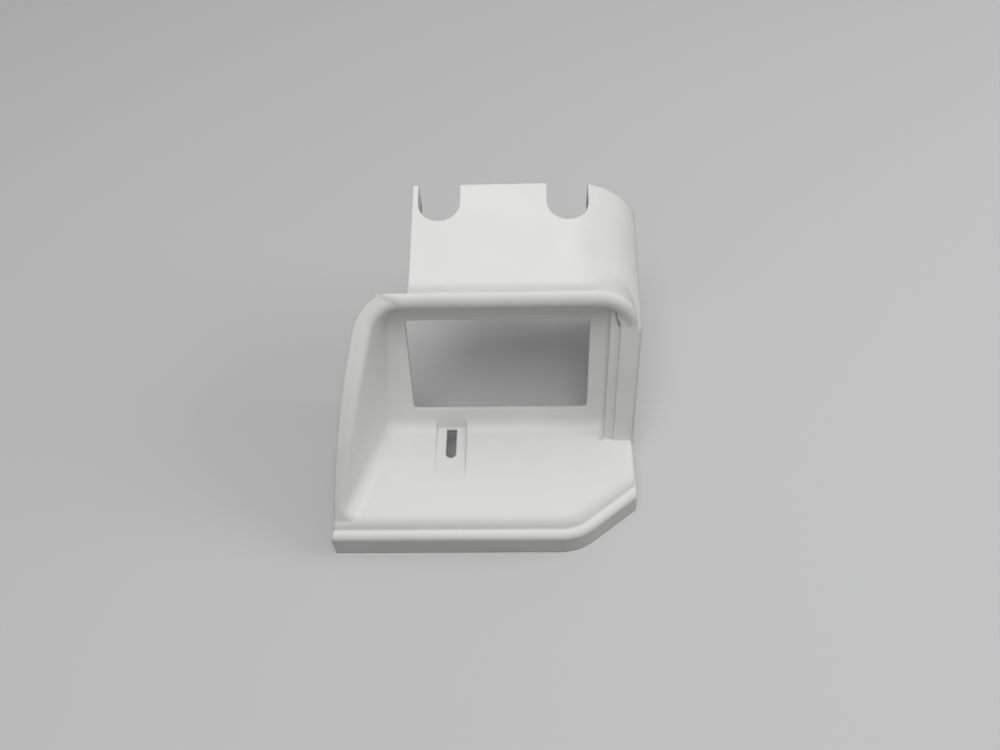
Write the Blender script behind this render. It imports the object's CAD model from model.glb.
"""Studio picture of the moulded display housing: its material, floor, light and camera.

Everything is in metres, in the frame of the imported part: +Z up, the open front towards -Y.
"""

from math import radians

import bpy
from mathutils import Matrix, Vector

# --- camera ----------------------------------------------------------------------------------------
CAMERA_PLACE = Vector((0.02147, -0.23509, 0.42156))
CAMERA_TURN = 3.25        # heading, degrees about +Z
CAMERA_TILT = 32.85       # away from straight down, degrees
CAMERA_ROLL = -3.37       # about the line of sight, degrees
SENSOR_WIDTH = 36.0       # mm
FOCAL_LENGTH = 29.124     # mm
NEAR_CLIP = 0.01          # metres

# --- plastic ---------------------------------------------------------------------------------------
PLASTIC_COLOUR = (0.78, 0.78, 0.77)
PLASTIC_SHADE = (0.745, 0.745, 0.732)   # the faint grey that mottles a large moulded face
PLASTIC_ROUGHNESS = (0.45, 0.54)        # least and most, over the mottle
NOISE_MIDDLE = (0.35, 0.65)             # the range of a noise that is stretched to full range
MOTTLE_SIZE = 0.028       # metres
MOTTLE_DETAIL = 3.0
GRAIN_SIZE = 0.0005       # spark-eroded grain of the mould, metres
GRAIN_DETAIL = 2.0
GRAIN_DEPTH = 0.000010
SINK_SIZE = 0.035         # slow unevenness of a large moulded face, metres
SINK_DETAIL = 0.0
SINK_DEPTH = 0.00008
EDGE_RADIUS = 0.0014      # softness of the moulded edges, metres
EDGE_SAMPLES = 6

# --- floor and light -------------------------------------------------------------------------------
FLOOR_COLOUR = (0.66, 0.66, 0.665)
FLOOR_BOUNCE = (0.16, 0.16, 0.16)       # what the floor gives back to the part
FLOOR_ROUGHNESS = 0.9
FLOOR_SIZE = 4.0
SURROUND = 0.36           # strength of the even white surround
# name, place, aim, size, power, and whether it is seen only in the plastic's sheen
LAMPS = (
    ("overhead", (-0.05, -0.24, 1.28), (0.0, 0.0, 0.06), 0.7, 5.6, False),
    ("right", (1.15, 0.05, 0.75), (0.0, 0.0, 0.06), 0.7, 4.5, False),
    ("sheen", (0.0, 0.62, 1.35), (0.0, 0.02, 0.08), 0.8, 15.0, True),
)


def new_material(name):
    """An empty node material with its output and a principled shader."""
    material = bpy.data.materials.new(name)
    material.use_nodes = True
    tree = material.node_tree
    tree.nodes.clear()
    output = tree.nodes.new("ShaderNodeOutputMaterial")
    shader = tree.nodes.new("ShaderNodeBsdfPrincipled")
    tree.links.new(shader.outputs["BSDF"], output.inputs["Surface"])
    return material, tree, shader


def noise(tree, coords, size, detail):
    """Noise of a given feature size over the object's own coordinates."""
    node = tree.nodes.new("ShaderNodeTexNoise")
    node.inputs["Scale"].default_value = 1 / size
    node.inputs["Detail"].default_value = detail
    tree.links.new(coords.outputs["Object"], node.inputs["Vector"])
    return node


def spread(tree, source, low, high):
    """The middle of a noise stretched to a range."""
    node = tree.nodes.new("ShaderNodeMapRange")
    node.inputs["From Min"].default_value, node.inputs["From Max"].default_value = NOISE_MIDDLE
    node.inputs["To Min"].default_value = low
    node.inputs["To Max"].default_value = high
    tree.links.new(source.outputs["Fac"], node.inputs["Value"])
    return node


def mix_colours(tree, share, first, second, shader):
    """Base colour mixed from two by a share that a socket gives."""
    node = tree.nodes.new("ShaderNodeMix")
    node.data_type = "RGBA"
    node.inputs["A"].default_value = (*first, 1)
    node.inputs["B"].default_value = (*second, 1)
    tree.links.new(share, node.inputs["Factor"])
    tree.links.new(node.outputs["Result"], shader.inputs["Base Color"])


def bump(tree, height, distance, under=None):
    """A bump in a height of a given depth, over another normal where there is one."""
    node = tree.nodes.new("ShaderNodeBump")
    node.inputs["Distance"].default_value = distance
    tree.links.new(height.outputs["Fac"], node.inputs["Height"])
    if under:
        tree.links.new(under.outputs["Normal"], node.inputs["Normal"])
    return node


def plastic_material():
    """Satin white moulding: even grain, a faint mottle in shade and gloss, slow sink in large faces."""
    material, tree, shader = new_material("white_plastic")
    coords = tree.nodes.new("ShaderNodeTexCoord")
    mottle = noise(tree, coords, MOTTLE_SIZE, MOTTLE_DETAIL)
    grain = noise(tree, coords, GRAIN_SIZE, GRAIN_DETAIL)
    sink = noise(tree, coords, SINK_SIZE, SINK_DETAIL)
    share = spread(tree, mottle, 0.0, 1.0)
    mix_colours(tree, share.outputs["Result"], PLASTIC_SHADE, PLASTIC_COLOUR, shader)
    gloss = spread(tree, mottle, *PLASTIC_ROUGHNESS)
    tree.links.new(gloss.outputs["Result"], shader.inputs["Roughness"])
    soft = tree.nodes.new("ShaderNodeBevel")
    soft.samples = EDGE_SAMPLES
    soft.inputs["Radius"].default_value = EDGE_RADIUS
    slow = bump(tree, sink, SINK_DEPTH, soft)
    fine = bump(tree, grain, GRAIN_DEPTH, slow)
    tree.links.new(fine.outputs["Normal"], shader.inputs["Normal"])
    return material


def dress_housing(frame):
    """Gives the moulding its plastic."""
    housing = frame["nodes"]["housing"]
    housing.data.materials.clear()
    housing.data.materials.append(plastic_material())


def floor():
    """Plain pale floor that throws little light back at the part, so its shaded sides stay shaded."""
    material, tree, shader = new_material("floor")
    shader.inputs["Roughness"].default_value = FLOOR_ROUGHNESS
    shader.inputs["Specular IOR Level"].default_value = 0.0
    path = tree.nodes.new("ShaderNodeLightPath")
    mix_colours(tree, path.outputs["Is Camera Ray"], FLOOR_BOUNCE, FLOOR_COLOUR, shader)
    bpy.ops.mesh.primitive_plane_add(size=FLOOR_SIZE, location=(0, 0, 0))
    plane = bpy.context.object
    plane.name = "floor"
    plane.data.materials.append(material)


def area_lamp(name, place, aim, size, power, sheen_only):
    """A soft square lamp that faces a point."""
    data = bpy.data.lights.new(name, "AREA")
    data.shape = "SQUARE"
    data.size = size
    data.energy = power
    lamp = bpy.data.objects.new(name, data)
    bpy.context.scene.collection.objects.link(lamp)
    lamp.location = place
    lamp.rotation_euler = (Vector(aim) - Vector(place)).to_track_quat("-Z", "Y").to_euler()
    lamp.visible_diffuse = not sheen_only


def light():
    """Lamps and an even surround."""
    world = bpy.data.worlds.new("studio")
    bpy.context.scene.world = world
    world.use_nodes = True
    background = world.node_tree.nodes["Background"]
    background.inputs["Color"].default_value = (1, 1, 1, 1)
    background.inputs["Strength"].default_value = SURROUND
    for lamp in LAMPS:
        area_lamp(*lamp)


def camera():
    """Camera at the photograph's viewing angle."""
    data = bpy.data.cameras.new("camera")
    data.sensor_width = SENSOR_WIDTH
    data.lens = FOCAL_LENGTH
    data.clip_start = NEAR_CLIP
    view = bpy.data.objects.new("camera", data)
    bpy.context.scene.collection.objects.link(view)
    turn = Matrix.Rotation(radians(CAMERA_TURN), 4, "Z")
    tilt = Matrix.Rotation(radians(CAMERA_TILT), 4, "X")
    roll = Matrix.Rotation(radians(CAMERA_ROLL), 4, "Z")
    view.matrix_world = Matrix.Translation(CAMERA_PLACE) @ turn @ tilt @ roll
    bpy.context.scene.camera = view


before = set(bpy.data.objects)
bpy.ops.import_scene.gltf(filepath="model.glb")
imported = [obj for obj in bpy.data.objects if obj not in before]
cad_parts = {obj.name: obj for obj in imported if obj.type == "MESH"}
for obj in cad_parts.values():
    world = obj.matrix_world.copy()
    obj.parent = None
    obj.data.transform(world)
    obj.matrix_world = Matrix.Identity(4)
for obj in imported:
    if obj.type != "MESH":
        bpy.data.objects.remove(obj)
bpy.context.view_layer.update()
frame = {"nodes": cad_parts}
bpy.context.scene.view_settings.view_transform = "Standard"
dress_housing(frame)
floor()
light()
camera()
